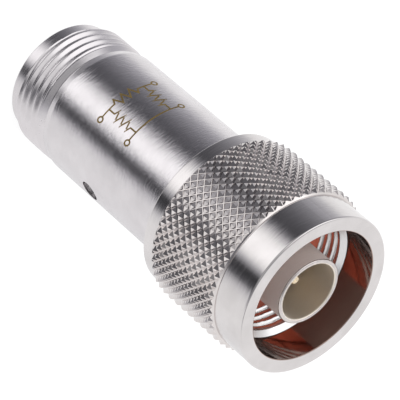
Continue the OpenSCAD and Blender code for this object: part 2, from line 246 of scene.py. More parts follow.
def rounded(section):
    """A closed half section with rounded corners.

    Each corner is (radius, height, edge radius, material), and comes back as (radius, height, material).
    """
    out = []
    count = len(section)
    for index in range(count):
        before = np.array(section[index - 1][:2], float)
        corner = np.array(section[index][:2], float)
        after = np.array(section[(index + 1) % count][:2], float)
        edge, material = section[index][2], section[index][3]
        back, ahead = before - corner, after - corner
        back_length, ahead_length = np.linalg.norm(back), np.linalg.norm(ahead)
        back /= back_length
        ahead /= ahead_length
        half = math.acos(np.clip(back @ ahead, -1, 1)) / 2
        longest = EDGE_SHARE * min(back_length, ahead_length)
        cut = min(edge / math.tan(half), longest) if edge else 0
        if cut < 1e-4:
            out.append((corner[0], corner[1], material))
            continue
        radius = cut * math.tan(half)
        centre = corner + (back + ahead) / np.linalg.norm(back + ahead) * radius / math.sin(half)
        first, last = corner + back * cut, corner + ahead * cut
        start = math.atan2(*(first - centre)[::-1])
        sweep = math.atan2(*(last - centre)[::-1]) - start
        sweep = (sweep + math.pi) % FULL_TURN - math.pi
        incoming = section[index - 1][3]
        if back_length > SUPPORT_EDGES * cut + SUPPORT_GAP:
            out.append((*(first + back * SUPPORT_GAP), incoming))
        for step in range(EDGE_STEPS + 1):
            angle = start + sweep * step / EDGE_STEPS
            spot = centre + radius * np.array([math.cos(angle), math.sin(angle)])
            out.append((spot[0], spot[1], material))
        if ahead_length > SUPPORT_EDGES * cut + SUPPORT_GAP:
            out.append((*(last + ahead * SUPPORT_GAP), material))
    return out


def turned(name, section, materials, columns=PLAIN_COLUMNS):
    """A turned piece from a half section with rounded corners."""
    corners = rounded(section)
    rings = [ring(r, z, columns) for r, z, _ in corners]
    return object_from_rings(name, rings, materials, [m for _, _, m in corners])


def smooth_step(x):
    """Rises from 0 to 1 while x does, with soft ends."""
    x = np.clip(x, 0, 1)
    return x * x * (3 - 2 * x)


def thread_wave(z, columns, crest_end, root_start):
    """Height of a right-hand thread around one ring, 1 on the crest and 0 in the root.

    crest_end and root_start are shares of the way from the middle of the crest to that of the root.
    """
    angle = np.arange(columns) / columns
    phase = (z / PITCH - angle) % 1
    from_crest = np.abs(phase - 0.5) * 2
    slope = np.clip((from_crest - crest_end) / (root_start - crest_end), 0, 1)
    return 1 - FLANK_STRAIGHT * slope - (1 - FLANK_STRAIGHT) * smooth_step(slope)


# Materials

# Texture sizes, as noise scales for lengths in metres
CLOUD_SCALE = 260.0
SPECK_SCALE = 2600.0
MOULDED_CLOUD_SCALE = 420.0
# The part of a noise's range that is spread out
CLOUD_RANGE = (0.35, 0.65)
TURNING_RANGE = (0.3, 0.75)
ROUGHNESS_RANGE = (0.3, 0.7)
# How far turning marks darken the plating, and how much of its roughness comes from specks
TURNING_SHADE = 0.2
SPECK_SHARE = 0.15
# Pointiness from which an edge counts as sharp, and as fully sharp, and how much brighter its colour is
# then
SHARP_EDGE_RANGE = (0.58, 0.68)
SHARP_EDGE_GAIN = 1.12


def feed(tree, socket, value):
    """Links a socket to another one, or sets it to a constant."""
    if isinstance(value, bpy.types.NodeSocket):
        tree.links.new(value, socket)
    else:
        socket.default_value = value


def node(tree, kind, inputs=None, **settings):
    """A new node with its settings, and with its inputs linked or set."""
    made = tree.nodes.new(kind)
    for name, value in settings.items():
        setattr(made, name, value)
    for key, value in (inputs or {}).items():
        feed(tree, made.inputs[key], value)
    return made


def calc(tree, operation, a, b=0.0):
    """One step of arithmetic."""
    return node(tree, "ShaderNodeMath", {0: a, 1: b}, operation=operation).outputs[0]


def spread(tree, value, low_in, high_in, low_out, high_out):
    """A value moved from one range to another, and kept inside it."""
    inputs = {"Value": value, "From Min": low_in, "From Max": high_in}
    inputs.update({"To Min": low_out, "To Max": high_out})
    return node(tree, "ShaderNodeMapRange", inputs).outputs[0]


def dot(tree, a, b):
    """How well one direction faces another."""
    return node(tree, "ShaderNodeVectorMath", {0: a, 1: b}, operation="DOT_PRODUCT").outputs["Value"]


def blend_colours(tree, share, first, second):
    """A colour so far on the way from the first to the second."""
    made = node(tree, "ShaderNodeMix", data_type="RGBA")
    feed(tree, made.inputs["Factor"], share)
    for name, value in (("A", first), ("B", second)):
        socket = next(s for s in made.inputs if s.name == name and s.type == "RGBA")
        feed(tree, socket, value if isinstance(value, bpy.types.NodeSocket) else (*value, 1))
    return next(s for s in made.outputs if s.type == "RGBA")


def noise(tree, vector, scale, detail=3.0, rough=0.55):
    """Cloudy noise between 0 and 1."""
    inputs = {"Vector": vector, "Scale": scale, "Detail": detail, "Roughness": rough}
    return node(tree, "ShaderNodeTexNoise", inputs).outputs["Fac"]


def new_material(name):
    """An empty material, with its node tree and its shader."""
    material = bpy.data.materials.new(name)
    material.use_nodes = True
    material.node_tree.nodes.clear()
    tree = material.node_tree
    shader = node(tree, "ShaderNodeBsdfPrincipled")
    output = node(tree, "ShaderNodeOutputMaterial")
    tree.links.new(shader.outputs[0], output.inputs["Surface"])
    return material, tree, shader


def lathe_coordinates(tree, around, along):
    """A vector that runs along the axis and the radius, and changes slowly around the axis.

    The place itself comes back too.
    """
    place = node(tree, "ShaderNodeTexCoord").outputs["Object"]
    flat = node(tree, "ShaderNodeVectorMath", {0: place, 1: (1, 1, 0)}, operation="MULTIPLY").outputs[0]
    radius = node(tree, "ShaderNodeVectorMath", {0: flat}, operation="LENGTH").outputs["Value"]
    split = node(tree, "ShaderNodeSeparateXYZ", {0: place})
    safe = calc(tree, "MAXIMUM", radius, 1e-5)
    x = calc(tree, "MULTIPLY", calc(tree, "DIVIDE", split.outputs[0], safe), around)
    y = calc(tree, "MULTIPLY", calc(tree, "DIVIDE", split.outputs[1], safe), around)
    z = calc(tree, "MULTIPLY", calc(tree, "ADD", split.outputs[2], radius), along)
    vector = node(tree, "ShaderNodeCombineXYZ", {0: x, 1: y, 2: z}).outputs[0]
    return vector, place


def turned_metal(
        name, light, dark, roughness, mark_height, mark_pitch=0.2, marks_around=5.0, edge_light=0.5):
    """Plated metal with turning marks, cloudy plating and brighter edges.

    light and dark are the plating's two shades, roughness its lowest and highest value,
    mark_height the depth of the turning marks in millimetres and mark_pitch their width.
    More marks_around make them shorter. edge_light is how far sharp edges brighten.
    """
    material, tree, shader = new_material(name)
    vector, place = lathe_coordinates(tree, around=marks_around, along=1 / (mark_pitch * MM))
    marks = noise(tree, vector, 1.0, detail=2.0, rough=0.5)
    clouds = noise(tree, place, CLOUD_SCALE, detail=5.0)
    specks = noise(tree, place, SPECK_SCALE, detail=2.0)
    colour = blend_colours(tree, spread(tree, clouds, *CLOUD_RANGE, 0, 1), light, dark)
    colour = blend_colours(tree, spread(tree, marks, *TURNING_RANGE, 0, TURNING_SHADE), colour, dark)
    edge = node(tree, "ShaderNodeNewGeometry").outputs["Pointiness"]
    bright = [min(1, share * SHARP_EDGE_GAIN) for share in light]
    colour = blend_colours(tree, spread(tree, edge, *SHARP_EDGE_RANGE, 0, edge_light), colour, bright)
    shader.inputs["Metallic"].default_value = 1.0
    feed(tree, shader.inputs["Base Color"], colour)
    from_marks = calc(tree, "MULTIPLY", marks, 1 - SPECK_SHARE)
    mixed = calc(tree, "ADD", from_marks, calc(tree, "MULTIPLY", specks, SPECK_SHARE))
    feed(tree, shader.inputs["Roughness"], spread(tree, mixed, *ROUGHNESS_RANGE, *roughness))
    bump = node(tree, "ShaderNodeBump", {"Height": marks, "Strength": 1.0, "Distance": mark_height * MM})
    tree.links.new(bump.outputs[0], shader.inputs["Normal"])
    return material


def grainy(name, light, dark, roughness, grain_scale, grain_height, metallic=0.0):
    """A moulded, fired or etched material with a fine even grain, whose height is in millimetres."""
    material, tree, shader = new_material(name)
    place = node(tree, "ShaderNodeTexCoord").outputs["Object"]
    clouds = noise(tree, place, MOULDED_CLOUD_SCALE, detail=5.0)
    grain = noise(tree, place, grain_scale, detail=3.0)
    colour = blend_colours(tree, spread(tree, clouds, *CLOUD_RANGE, 0, 1), light, dark)
    shader.inputs["Metallic"].default_value = metallic
    feed(tree, shader.inputs["Base Color"], colour)
    feed(tree, shader.inputs["Roughness"], spread(tree, grain, *ROUGHNESS_RANGE, *roughness))
    bump = node(tree, "ShaderNodeBump", {"Height": grain, "Strength": 1.0, "Distance": grain_height * MM})
    tree.links.new(bump.outputs[0], shader.inputs["Normal"])
    return material


PLATE_LIGHT = (0.70, 0.672, 0.672)
PLATE_DARK = (0.63, 0.602, 0.60)
BODY_LIGHT = (0.70, 0.672, 0.688)
BODY_DARK = (0.64, 0.612, 0.628)
body_metal = turned_metal("plated_body", BODY_LIGHT, BODY_DARK, (0.17, 0.25), 0.026, 0.15, 10.0)
jack_metal = turned_metal("plated_jack", BODY_LIGHT, BODY_DARK, (0.18, 0.28), 0.004)
band_metal = turned_metal("plated_band", PLATE_LIGHT, PLATE_DARK, (0.10, 0.18), 0.012)
rim_metal = turned_metal("plated_rim", PLATE_LIGHT, PLATE_DARK, (0.08, 0.12), 0.0004, edge_light=0.0)
# The mouth is polished plating; its dark red-brown colour is painted shade of the deep nut and a painted
# reflection of the red gasket
mouth_painted_shade = turned_metal("polished_mouth_painted_shade", (0.40, 0.30, 0.26), (0.365, 0.27, 0.235), (0.06, 0.12), 0.002)
inner_thread_metal = turned_metal(
    "plated_inner_thread", (0.76, 0.755, 0.76), (0.70, 0.695, 0.695), (0.18, 0.28), 0.003)
knurl_metal = turned_metal("plated_knurl", (0.73, 0.69, 0.68), (0.65, 0.61, 0.60), (0.05, 0.12), 0.0006)
# The tube is plated like the nut, but coloured near white and warm: painted light, and a painted
# reflection of the red gasket
ferrule_painted_light = turned_metal(
    "plated_ferrule_painted_light", (0.955, 0.895, 0.86), (0.925, 0.855, 0.825), (0.84, 0.94), 0.0006, edge_light=0.0)
ferrule_face = turned_metal("ferrule_face", (0.72, 0.675, 0.655), (0.60, 0.555, 0.54), (0.16, 0.26), 0.004)
# The bore's colour is raised near white to make up for the light the deep bore lacks: painted light
bore_painted_light = turned_metal(
    "dull_bore_painted_light", (0.95, 0.89, 0.82), (0.92, 0.84, 0.74), (0.44, 0.58), 0.001, edge_light=0.0)
gold_metal = turned_metal("gold_plate", (0.93, 0.80, 0.61), (0.88, 0.73, 0.52), (0.16, 0.28), 0.003)
spring_metal = turned_metal("spring_bronze", (0.66, 0.54, 0.32), (0.56, 0.44, 0.25), (0.2, 0.34), 0.001)
brass_metal = turned_metal("carrier_brass", (0.74, 0.60, 0.30), (0.66, 0.52, 0.24), (0.2, 0.34), 0.001)
screw_metal = turned_metal("screw_steel", (0.44, 0.43, 0.43), (0.36, 0.35, 0.35), (0.26, 0.40), 0.001)
silicone = grainy("red_silicone", (0.93, 0.25, 0.155), (0.86, 0.215, 0.13), (0.40, 0.58), 5200.0, 0.004)
rubber = grainy("seal_rubber", (0.03, 0.03, 0.03), (0.02, 0.02, 0.02), (0.45, 0.65), 5200.0, 0.004)
bead_plastic = grainy("bead_plastic", (0.88, 0.86, 0.80), (0.82, 0.79, 0.72), (0.35, 0.5), 4200.0, 0.002)
ceramic = grainy("card_ceramic", (0.84, 0.83, 0.78), (0.78, 0.77, 0.71), (0.5, 0.7), 9000.0, 0.001)
etched = grainy("etched_mark", (0.23, 0.155, 0.045), (0.15, 0.10, 0.03), (0.42, 0.6), 9000.0, 0.002, 0.4)


# Pieces

def build_housing():
    """The turned housing, with the jack's thread and the lock screw's hole."""
    jack, tube = 0, 1
    below_thread = [
        (JACK_BORE_R + JACK_BORE_CHAMFER, 0, 0.05, jack),
        (JACK_PILOT_R, 0, 0.16, jack),
        (JACK_PILOT_R, JACK_PILOT_LENGTH, 0, jack),
    ]
    shoulder = [
        (JACK_RELIEF_R, SHOULDER_Z, 0.1, jack),
        (SHOULDER_FOOT_R, SHOULDER_Z, 0.06, jack),
        (HOUSING_R, JACK_LENGTH, 1.2, tube),
    ]
    # Short faces around the screw's hole keep its cut clean
    beside_screw = [(HOUSING_R, SCREW_Z + step, 0, tube) for step in range(-2, 3)]
    top_and_bores = [
        (HOUSING_R, HOUSING_TOP, 0.1, jack),
        (SPIGOT_R, HOUSING_TOP, 0.05, jack),
        (SPIGOT_R, CAVITY_TOP, 0, jack),
        (CAVITY_R, CAVITY_TOP, 0, jack),
        (CAVITY_R, CAVITY_Z, 0, jack),
        (BEAD_POCKET_R, CAVITY_Z, 0, jack),
        (BEAD_POCKET_R, JACK_BEAD_Z, 0, jack),
        (LINE_R, JACK_BEAD_Z, 0, jack),
        (LINE_R, JACK_BORE_DEPTH, 0.05, jack),
        (JACK_BORE_R, JACK_BORE_DEPTH, 0, jack),
        (JACK_BORE_R, JACK_BORE_CHAMFER, 0.05, jack),
    ]
    corners = rounded(below_thread + shoulder + beside_screw + top_and_bores)
    split = next(i for i, c in enumerate(corners) if c[1] > JACK_PILOT_LENGTH)
    rings = [ring(r, z, HOUSING_COLUMNS) for r, z, _ in corners]
    ring_materials = [m for _, _, m in corners]
    thread_length = JACK_THREAD_TOP - JACK_PILOT_LENGTH
    rows = int(thread_length / PITCH * ROWS_PER_PITCH)
    thread_rings = []
    for row in range(1, rows + 1):
        up = thread_length * row / rows
        z = JACK_PILOT_LENGTH + up
        lead = JACK_PILOT_R + (JACK_THREAD_R - JACK_PILOT_R) * up / JACK_LEAD_LENGTH
        relief = JACK_RELIEF_R + JACK_RELIEF_SLOPE * max(0, JACK_RELIEF_Z - z)
        wave = thread_wave(z - JACK_THREAD_LIFT, HOUSING_COLUMNS, *JACK_FLANK)
        wave = np.maximum(wave, smooth_step((z - JACK_THREAD_END) / JACK_RUN_OUT))
        crest = JACK_ROOT_R + (JACK_THREAD_R - JACK_ROOT_R) * wave
        thread_rings.append(ring(np.minimum(crest, min(lead, relief)), z, HOUSING_COLUMNS))
    rings[split:split] = thread_rings
    ring_materials[split:split] = [jack] * rows
    made = object_from_rings("housing", rings, [jack_metal, body_metal], ring_materials)
    cut_screw_hole(made)
    return made


def on_screw_line(points):
    """Turns points about the screw's own axis into the frame, with the screw's Z pointing outwards."""
    points = np.asarray(points, float)
    across = np.stack([points[:, 2], points[:, 1], SCREW_Z - points[:, 0]], axis=1)
    c, s = math.cos(SCREW_BEARING), math.sin(SCREW_BEARING)
    turned_points = across.copy()
    turned_points[:, 0] = across[:, 0] * c - across[:, 1] * s
    turned_points[:, 1] = across[:, 0] * s + across[:, 1] * c
    return turned_points


def carve(piece, tool, operation):
    """Cuts a piece with another closed mesh, or keeps only what the two share. The tool goes."""
    step = piece.modifiers.new("carve", "BOOLEAN")
    step.operation = operation
    step.solver = "EXACT"
    step.object = tool
    graph = bpy.context.evaluated_depsgraph_get()
    finished = bpy.data.meshes.new_from_object(piece.evaluated_get(graph))
    piece.modifiers.clear()
    piece.data = finished
    finished.set_sharp_from_angle(angle=SHARP_ANGLE)
    bpy.data.objects.remove(tool)


def cut_screw_hole(housing):
    """Cuts the lock screw's hole, with a broken edge at the outside."""
    broken_edge, overshoot, inner_overshoot = 0.08, 0.16, 0.5
    corners = [
        (SCREW_HOLE_R, CAVITY_R - inner_overshoot),
        (SCREW_HOLE_R, HOUSING_R - broken_edge),
        (SCREW_HOLE_R + broken_edge + overshoot, HOUSING_R + overshoot),
    ]
    rings = [ring(r, z, SCREW_COLUMNS) for r, z in corners]
    faces = []
    for index in range(len(rings) - 1):
        faces.extend(stitch(index * SCREW_COLUMNS, (index + 1) * SCREW_COLUMNS, SCREW_COLUMNS))
    faces.append(tuple(range(SCREW_COLUMNS))[::-1])
    faces.append(tuple(range((len(rings) - 1) * SCREW_COLUMNS, len(rings) * SCREW_COLUMNS)))
    cutter = mesh_object("screw_hole_cutter", on_screw_line(np.concatenate(rings)), faces, [jack_metal])
    carve(housing, cutter, "DIFFERENCE")


def knurl_points(rows):
    """Corners of all the knurl's four-sided points, row by row.

    Each point has four feet and four corners of its flat top, to the right, top, left and bottom.
    Lengths here are half the spacing of the points, around the nut and along it.
    """
    random = np.random.default_rng(KNURL_SEED)
    reach = np.array([1 - KNURL_FLOOR] * 4 + [KNURL_FLAT] * 4)
    quarter = np.arange(8) * math.pi / 2
    row_height = (KNURL_TOP - KNURL_BOTTOM) / KNURL_ROWS
    points = []
    for row in rows:
        for start in range(KNURL_STARTS):
            lean = np.zeros((8, 2))
            lean[4:] = random.uniform(-KNURL_LEAN, KNURL_LEAN, 2)
            level = random.uniform(KNURL_LOWEST, 1.0)
            around = 2 * start + row % 2 + reach * np.cos(quarter) + lean[:, 0]
            along = row + reach * np.sin(quarter) + lean[:, 1]
            height = np.array([0.0] * 4 + [level] * 4)
            radius = KNURL_ROOT_R + (KNURL_CREST_R - KNURL_ROOT_R) * height
            angle = around * FULL_TURN / (2 * KNURL_STARTS)
            z = KNURL_BOTTOM + along * row_height
            points.extend(np.stack([radius * np.cos(angle), radius * np.sin(angle), z], axis=1))
    return points


def build_knurl():
    """The knurl: rows of four-sided points between two crossed sets of grooves with narrow floors."""
    # Rows beyond both ends, which the outline below trims
    rows = range(-1, KNURL_ROWS + 3)
    points = knurl_points(rows)

    def corner(level, start, which):
        return (level * KNURL_STARTS + start % KNURL_STARTS) * 8 + which

    right, top, left, bottom = range(4)
    last = len(rows) - 1
    faces = []
    for level, row in enumerate(rows):
        for start in range(KNURL_STARTS):
            feet = [corner(level, start, side) for side in range(4)]
            flat = [corner(level, start, side + 4) for side in range(4)]
            faces.append(flat)
            for side in range(4):
                following = (side + 1) % 4
                faces.append((flat[side], feet[side], feet[following], flat[following]))
            beside = start + row % 2
            crossing = [corner(level, start + 1, left), feet[right]]
            if level > 0:
                crossing.insert(0, corner(level - 1, beside, top))
            if level < last:
                crossing.insert(-1, corner(level + 1, beside, bottom))
                faces.append((feet[right], corner(level + 1, beside, bottom),
                              corner(level + 1, beside, left), feet[top]))
                faces.append((feet[top], corner(level + 1, beside - 1, right),
                              corner(level + 1, beside - 1, bottom), feet[left]))
            faces.append(crossing)
    ends = []
    for level, side in ((last, top), (0, bottom)):
        edge = []
        for start in range(KNURL_STARTS):
            edge.extend(corner(level, start, which) for which in (left, side, right))
        inner = []
        for index in edge:
            x, y, z = points[index]
            shrink = KNURL_CORE_R / math.hypot(x, y)
            inner.append(len(points))
            points.append(np.array([x * shrink, y * shrink, z]))
        ends.append((edge, inner))
    (upper_edge, upper_inner), (lower_edge, lower_inner) = ends
    loops = [upper_edge, upper_inner, lower_inner, lower_edge]
    for first, second in zip(loops, loops[1:]):
        for index in range(len(first)):
            after = (index + 1) % len(first)
            faces.append((first[index], first[after], second[after], second[index]))
    knurl = mesh_object("knurl", points, faces, [knurl_metal])
    sunk, clear = 0.05, 0.2
    step = (KNURL_STEP_R - KNURL_END_R) / KNURL_STEP_SLOPE
    rise = step + (KNURL_CREST_R + clear - KNURL_STEP_R) / KNURL_RUN_OUT_SLOPE
    run_out = [
        (KNURL_CORE_R - clear, -sunk), (KNURL_END_R, -sunk), (KNURL_END_R, 0),
        (KNURL_STEP_R, step), (KNURL_CREST_R + clear, rise),
    ]
    rings = [ring(r, KNURL_BOTTOM + inwards, PLAIN_COLUMNS) for r, inwards in run_out]
    rings += [ring(r, KNURL_TOP - inwards, PLAIN_COLUMNS) for r, inwards in reversed(run_out)]
    carve(knurl, object_from_rings("knurl_outline", rings, [knurl_metal]), "INTERSECT")
    knurl.data.set_sharp_from_angle(angle=KNURL_SHARP_ANGLE)
    return knurl


def build_nut():
    """The coupling nut, with its seat for the knurl, its polished mouth in painted shade and its inner
    thread.
    """
    outside, rim, mouth, inner = 0, 1, 2, 3
    before_thread = [
        (NUT_GUIDE_R, NUT_REAR, 0.06, outside),
        (NUT_COLLAR_R, NUT_REAR, 0.16, outside),
        (NUT_COLLAR_R, KNURL_BOTTOM, 0.04, outside),
        (KNURL_SEAT_R, KNURL_BOTTOM, 0, outside),
        (KNURL_SEAT_R, KNURL_TOP, 0, outside),
        (NUT_BAND_R, KNURL_TOP, 0.05, outside),
        (NUT_BAND_R, NUT_FRONT, 0.18, rim),
        (NUT_MOUTH_R, NUT_FRONT, 0.09, mouth),
        (NUT_MOUTH_R, NUT_MOUTH_FLOOR, 0, inner),
    ]
    after_thread = [
        (NUT_RELIEF_R, NUT_THREAD_BOTTOM, 0.05, inner),
        (NUT_RELIEF_R, NUT_GUIDE_TOP, 0, inner),
        (NUT_GUIDE_R, NUT_GUIDE_TOP, 0.05, inner),
        (NUT_GUIDE_R, SNAP_GROOVE_TOP, 0, inner),
        (NUT_RELIEF_R, SNAP_GROOVE_TOP, 0, inner),
        (NUT_RELIEF_R, SNAP_GROOVE_Z, 0, inner),
        (NUT_GUIDE_R, SNAP_GROOVE_Z, 0, inner),
    ]
    corners = rounded(before_thread + after_thread)
    rings = [ring(r, z, PLAIN_COLUMNS) for r, z, _ in corners]
    ring_materials = [m for _, _, m in corners]
    split = 1 + next(i for i, c in enumerate(corners) if c[2] == inner)
    lead_slope = (NUT_MOUTH_R - NUT_THREAD_R) / (NUT_MOUTH_FLOOR - NUT_THREAD_TOP)
    depth_in_all = NUT_MOUTH_FLOOR - NUT_THREAD_BOTTOM
    rows = int(depth_in_all / PITCH * ROWS_PER_PITCH)
    thread_rings = []
    for row in range(1, rows + 1):
        z = NUT_MOUTH_FLOOR - depth_in_all * row / rows
        opened = smooth_step((NUT_THREAD_TOP - z) / NUT_THREAD_START)
        depth = opened * NUT_THREAD_DEPTH * (1 - thread_wave(z, PLAIN_COLUMNS, *NUT_FLANK))
        lead = max(NUT_THREAD_R, NUT_THREAD_R + lead_slope * (z - NUT_THREAD_TOP))
        thread_rings.append(ring(lead + depth, z, PLAIN_COLUMNS))
    rings[split:split] = thread_rings
    ring_materials[split:split] = [inner] * rows
    materials = [band_metal, rim_metal, mouth_painted_shade, inner_thread_metal]
    return object_from_rings("knurled_nut", rings, materials, ring_materials)


def build_plug_shell():
    """The plug's outer contact, with a dull bore and a turned front face. Its outside and its bore are
    coloured with painted light.
    """
    outside, bore, face = 0, 1, 2
    section = [
        (BEAD_POCKET_R, CAVITY_TOP, 0, outside),
        (SHELL_SPIGOT_R, CAVITY_TOP, 0.1, outside),
        (SHELL_SPIGOT_R, SEAL_GROOVE_Z, 0, outside),
        (SEAL_GROOVE_R, SEAL_GROOVE_Z, 0, outside),
        (SEAL_GROOVE_R, SEAL_GROOVE_TOP, 0, outside),
        (SHELL_SPIGOT_R, SEAL_GROOVE_TOP, 0, outside),
        (SHELL_SPIGOT_R, HOUSING_TOP, 0, outside),
        (GUIDE_R, HOUSING_TOP, 0.05, outside),
        (GUIDE_R, SNAP_GROOVE_Z, 0, outside),
        (SNAP_GROOVE_R, SNAP_GROOVE_Z, 0, outside),
        (SNAP_GROOVE_R, SNAP_GROOVE_TOP, 0, outside),
        (GUIDE_R, SNAP_GROOVE_TOP, 0, outside),
        (GUIDE_R, GASKET_SEAT, 0.08, outside),
        (FERRULE_R, GASKET_SEAT, 0.05, outside),
        (FERRULE_R, FERRULE_FRONT, 0.15, face),
        (LINE_R, FERRULE_FRONT, 0.15, bore),
        (LINE_R, PLUG_BEAD_TOP, 0, bore),
        (BEAD_POCKET_R, PLUG_BEAD_TOP, 0, bore),
    ]
    return turned("plug_tube", section, [ferrule_painted_light, bore_painted_light, ferrule_face])


def build_pin():
    """The gold plated pin, with a tapered nose and a centre mark. Its hidden card slot is left out."""
    section = [
        (AXIS_R, PIN_INNER_END, 0, 0),
        (STEM_R, PIN_INNER_END, 0.05, 0),
        (STEM_R, PLUG_BEAD_TOP, 0, 0),
        (CONDUCTOR_R, PLUG_BEAD_TOP, 0.05, 0),
        (CONDUCTOR_R, PIN_SHOULDER_Z, 0.1, 0),
        (PIN_R, PIN_SHOULDER_Z, 0.1, 0),
        (PIN_R, PIN_TIP_Z - PIN_TAPER, 0.3, 0),
        (PIN_TIP_R, PIN_TIP_Z, 0.1, 0),
        (PIN_CENTRE_MARK, PIN_TIP_Z, 0.02, 0),
        (AXIS_R, PIN_TIP_Z - PIN_CENTRE_MARK, 0, 0),
    ]
    return turned("centre_pin", section, [gold_metal], PIN_COLUMNS)


def build_gasket():
    """The silicone ring at the foot of the tube, moulded with soft edges."""
    section = [
        (GASKET_INNER_R, GASKET_SEAT, 0.12, 0),
        (GASKET_R, GASKET_SEAT, 0.12, 0),
        (GASKET_R, GASKET_TOP, 0.3, 0),
        (GASKET_INNER_R, GASKET_TOP, 0.2, 0),
    ]
    return turned("silicone_gasket", section, [silicone])


def build_screw():
    """The grub screw, with a chamfered end and a hexagon socket."""
    top = HOUSING_R - SCREW_SINK
    angle = np.arange(SCREW_COLUMNS) * FULL_TURN / SCREW_COLUMNS
    sixth = FULL_TURN / 6
    hexagon = SCREW_HEX / 2 / np.cos((angle + sixth / 2) % sixth - sixth / 2)
    socket_floor = top - SCREW_HEX_DEPTH
    steps = [
        (AXIS_R, CAVITY_R),
        (SCREW_R - SCREW_POINT_CHAMFER, CAVITY_R),
        (SCREW_R, CAVITY_R + SCREW_POINT_CHAMFER),
        (SCREW_R, top - SCREW_END_CHAMFER),
        (SCREW_R - SCREW_END_CHAMFER, top),
        (hexagon * SCREW_HEX_FLARE, top),
        (hexagon, top - SCREW_HEX_LEAD),
        (hexagon, socket_floor),
        (AXIS_R, socket_floor - SCREW_DRILL_CONE),
    ]
    rings = [on_screw_line(ring(r, z, SCREW_COLUMNS)) for r, z in steps]
    return object_from_rings("grub_screw", rings, [screw_metal])


def ribbon(path, width, closed=False):
    """Left and right edges of a flat line of even width along a path of (across, up) points."""
    path = np.asarray(path, float)
    count = len(path)
    left, right = [], []
    for index in range(count):
        before = path[index - 1] if index or closed else None
        after = path[(index + 1) % count] if index < count - 1 or closed else None
        normals = []
        for first, second in ((before, path[index]), (path[index], after)):
            if first is None or second is None:
                continue
            step = (second - first) / np.linalg.norm(second - first)
            normals.append(np.array([-step[1], step[0]]))
        normal = sum(normals) / np.linalg.norm(sum(normals))
        reach = width / 2 / (normal @ normals[0])
        left.append(path[index] + normal * reach)
        right.append(path[index] - normal * reach)
    return np.array(left), np.array(right)


def finer(path, step, closed):
    """The path with extra points, so that it can follow the round housing."""
    path = [np.array(p, float) for p in path]
    ends = path[1:] + ([path[0]] if closed else [])
    out = []
    for first, second in zip(path, ends):
        pieces = max(1, math.ceil(np.linalg.norm(second - first) / step))
        out.extend(first + (second - first) * i / pieces for i in range(pieces))
    if not closed:
        out.append(path[-1])
    return out


def zigzag(start, end, swing, points=6):
    """A resistor's zigzag between two points."""
    start, end = np.array(start, float), np.array(end, float)
    along = (end - start) / points
    side = np.array([-along[1], along[0]]) / np.linalg.norm(along) * swing
    middle = [start + along * (i + 0.5) + side * (1 if i % 2 == 0 else -1) for i in range(points)]
    return [start, *middle, end]


def build_mark():
    """A resistor pad's circuit symbol, etched where the housing is marked."""
    half, top, bottom, shunt = 3.55, 2.5, -2.5, 2.45
    series_half, shunt_half, swing = 1.6, 1.5, 0.62
    terminal_r, terminal_points = 0.34, 16
    gap = MARK_WIDTH / 2
    angles = np.arange(terminal_points) * FULL_TURN / terminal_points
    circle = [(math.cos(angle) * terminal_r, math.sin(angle) * terminal_r) for angle in angles]
    series = zigzag((-series_half, top), (series_half, top), swing)
    lines = [
        ([(-half, top), *series, (half, top)], False),
        ([(-half, bottom), (half, bottom)], False),
    ]
    for x in (-shunt, shunt):
        resistor = zigzag((x, shunt_half), (x, -shunt_half), swing)
        lines.append(([(x, top - gap), *resistor, (x, bottom + gap)], False))
    terminal_x = half + terminal_r + gap / 2
    for x in (-terminal_x, terminal_x):
        for y in (top, bottom):
            lines.append(([(x + cx, y + cy) for cx, cy in circle], True))
    outside, inside = HOUSING_R + MARK_PROUD, HOUSING_R - MARK_SINK
    points, faces = [], []
    for path, closed in lines:
        left, right = ribbon(finer(path, MARK_STEP, closed), MARK_WIDTH, closed)
        count = len(left)
        start = len(points)
        for edge, radius in ((left, outside), (right, outside), (right, inside), (left, inside)):
            for across, up in edge:
                angle = MARK_CENTRE_ANGLE - across / HOUSING_R
                points.append((radius * math.cos(angle), radius * math.sin(angle), MARK_CENTRE_Z - up))
        for index in range(count if closed else count - 1):
            after = (index + 1) % count
            for side in range(4):
                a = start + side * count
                b = start + (side + 1) % 4 * count
                faces.append((a + index, a + after, b + after, b + index))
        if not closed:
            faces.append(tuple(start + side * count for side in range(4)))
            faces.append(tuple(start + side * count + count - 1 for side in (3, 2, 1, 0)))
    return mesh_object("etched_symbol", points, faces, [etched])


def attach(piece, body, slot, *nodes):
    """Rides a piece on its body and, where it stands for solids, hides them. The slot is not used."""
    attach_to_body(piece, body)
    if nodes:
        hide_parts(*nodes)


attach(build_housing(), "body", "plated_metal", "body_housing")
attach(build_plug_shell(), "body", "plated_contact", "plug_shell")
attach(build_pin(), "body", "gold_contact", "plug_pin")
attach(build_gasket(), "body", "silicone", "gasket")
attach(build_screw(), "body", "screw_steel", "lock_screw")
attach(build_mark(), "body", "plated_metal")
attach(build_nut(), "nut", "plated_nut", "coupling_nut")
attach(build_knurl(), "nut", "plated_nut")

# Solids whose shape is right, which only get a better material
KEPT_NODES = {
    "retaining_ring": spring_metal,
    "seal_ring": rubber,
    "plug_bead": bead_plastic,
    "jack_bead": bead_plastic,
    "jack_socket": gold_metal,
    "carrier_half_a": brass_metal,
    "carrier_half_b": brass_metal,
    "attenuator_card": ceramic,
}
for name, material in KEPT_NODES.items():
    for material_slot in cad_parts[name].material_slots:
        material_slot.material = material


# Studio

